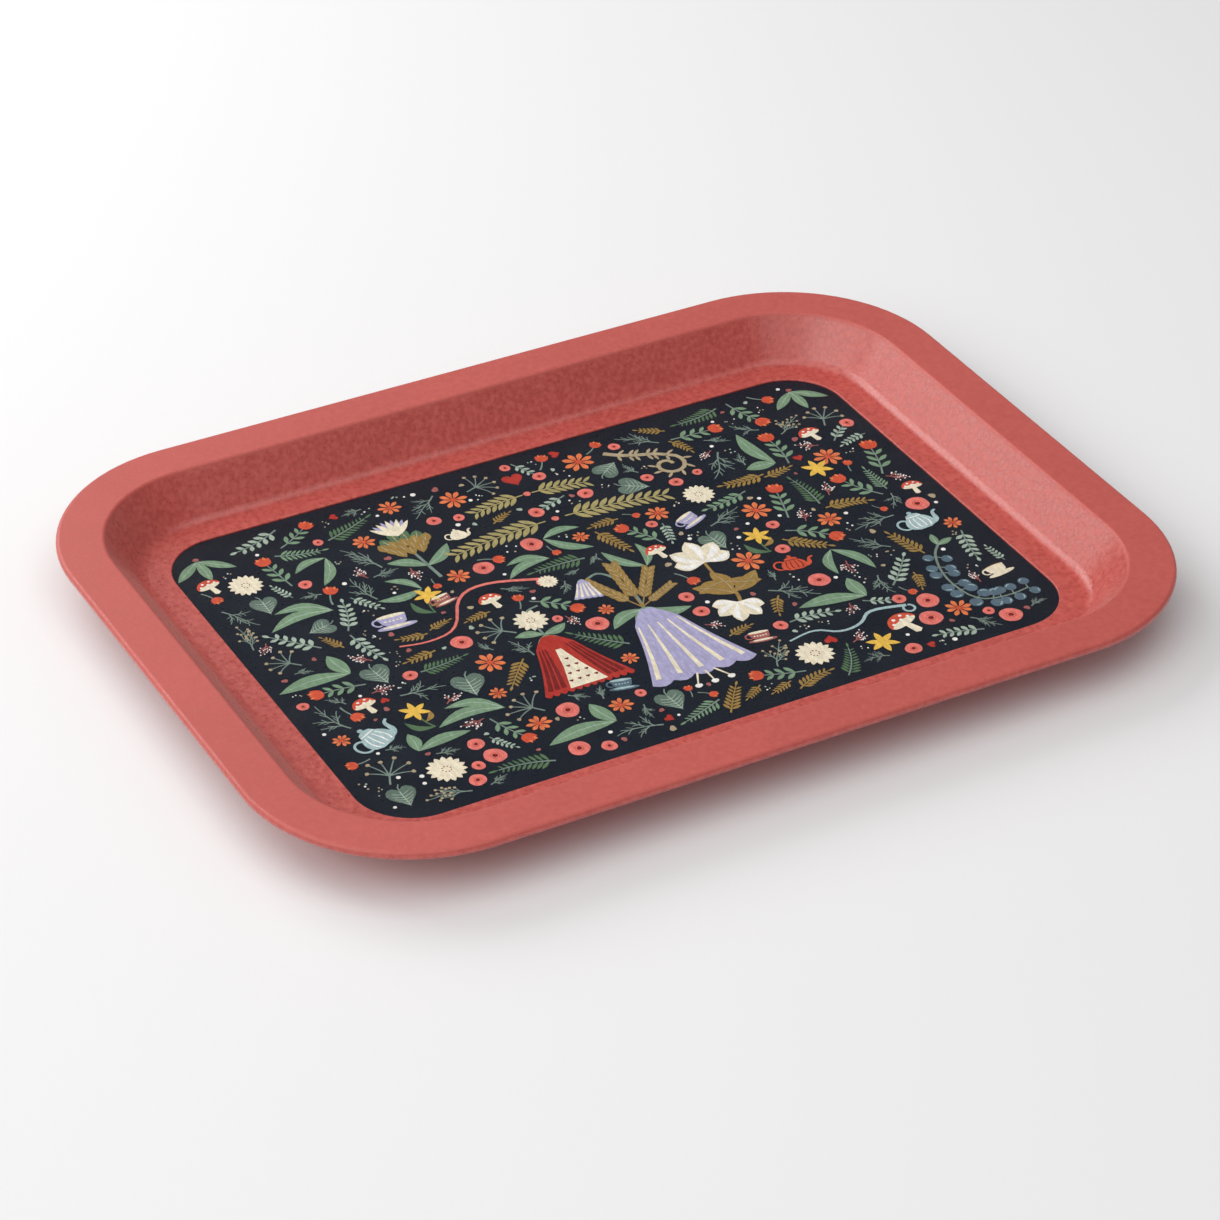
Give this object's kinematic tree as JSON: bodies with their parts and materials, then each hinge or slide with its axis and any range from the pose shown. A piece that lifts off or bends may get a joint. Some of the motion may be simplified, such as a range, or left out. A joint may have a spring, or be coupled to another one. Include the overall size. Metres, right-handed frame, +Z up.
{
  "type": "serving tray",
  "caption": "Shallow rounded-rectangle serving tray with a wide flat rim, sloping walls, a low foot ring and a dark floral printed sheet let into its floor.",
  "frame": {"origin": "middle of the footprint, on the surface the tray rests on", "axes": "+X along the tray's length, +Y from its front long edge to its back long edge, which is also up in the printed pattern, +Z up"},
  "size_m": [0.275, 0.205, 0.016],
  "materials": {
    "coral_moulding": "coral red moulded fibre composite, satin with a fine crackled grain",
    "printed_sheet": "midnight blue printed sheet with a botanical pattern",
    "clear_film": "clear matt wear layer"
  },
  "bodies": {
    "root": {"tray_body": "coral_moulding", "decor_sheet": "printed_sheet", "clear_overlay": "clear_film"}
  },
  "joints": []
}
